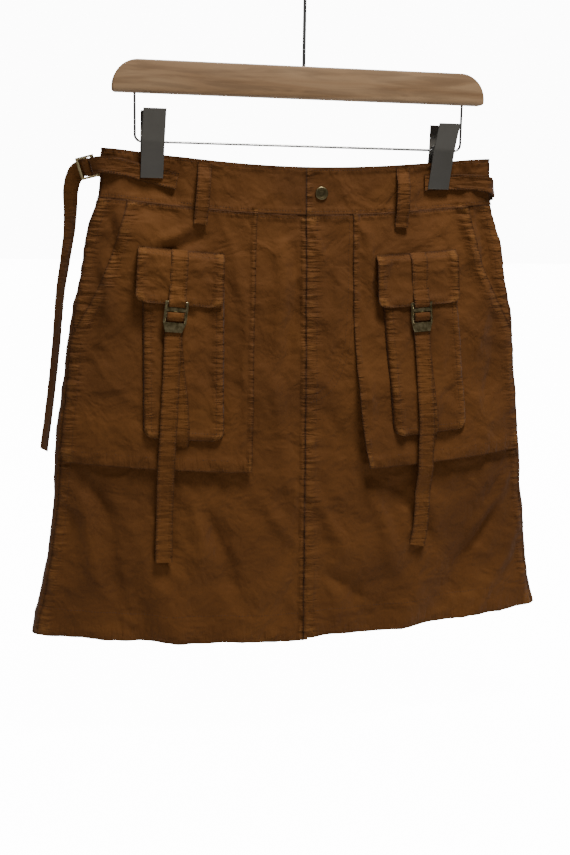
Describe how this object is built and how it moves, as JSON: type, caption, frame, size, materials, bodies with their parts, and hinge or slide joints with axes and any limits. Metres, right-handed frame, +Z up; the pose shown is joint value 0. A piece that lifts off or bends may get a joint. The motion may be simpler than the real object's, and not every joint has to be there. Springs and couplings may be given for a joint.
{
  "type": "cargo utility skirt on a clip hanger",
  "caption": "Flared cotton cargo skirt with patch panels, buckled flap pockets, belt loops and side adjusters, hung by its waistband from a wooden hanger with spring clips.",
  "frame": {"origin": "inside top of the hanger's hook, where a clothes rail bears", "axes": "+Z up, the skirt's front faces -Y, +X to the right of someone who looks at the front"},
  "size_m": [0.5524, 0.0784, 0.712],
  "materials": {
    "cotton": "tobacco brown garment-washed cotton twill, lighter on worn seams",
    "strap_cotton": "brown cotton strap, edge-stitched and slightly puckered",
    "buckle_metal": "antiqued brass, dark in the corners with bright upper edges",
    "snap_metal": "dark antiqued brass cap",
    "wire_metal": "polished steel wire",
    "clip_metal": "warm grey satin steel",
    "bar_wood": "pale tan wood, thin clear coat, long slanted grain"
  },
  "bodies": {
    "root": {"front_left": "cotton", "front_right": "cotton", "back_panel": "cotton", "waistband_front_left": "cotton", "waistband_front_right": "cotton", "waistband_back": "cotton", "patch_left": "cotton", "patch_right": "cotton", "pocket_left": "cotton", "pocket_right": "cotton", "flap_left": "cotton", "flap_right": "cotton", "belt_loop_left": "cotton", "belt_loop_right": "cotton", "belt_loop_back": "cotton", "side_tab_left": "cotton", "side_tab_right": "cotton", "flap_strap_left": "strap_cotton", "flap_strap_right": "strap_cotton", "pocket_strap_left": "strap_cotton", "pocket_strap_right": "strap_cotton", "side_strap_left": "strap_cotton", "side_strap_right": "strap_cotton", "buckle_left": "buckle_metal", "buckle_right": "buckle_metal", "side_buckle_left": "buckle_metal", "side_buckle_right": "buckle_metal", "snap": "snap_metal", "hanger_hook": "wire_metal", "hanger_wire": "wire_metal", "clip_left_spring": "wire_metal", "clip_right_spring": "wire_metal", "clip_left_front": "clip_metal", "clip_left_back": "clip_metal", "clip_right_front": "clip_metal", "clip_right_back": "clip_metal", "hanger_bar": "bar_wood"}
  },
  "joints": []
}
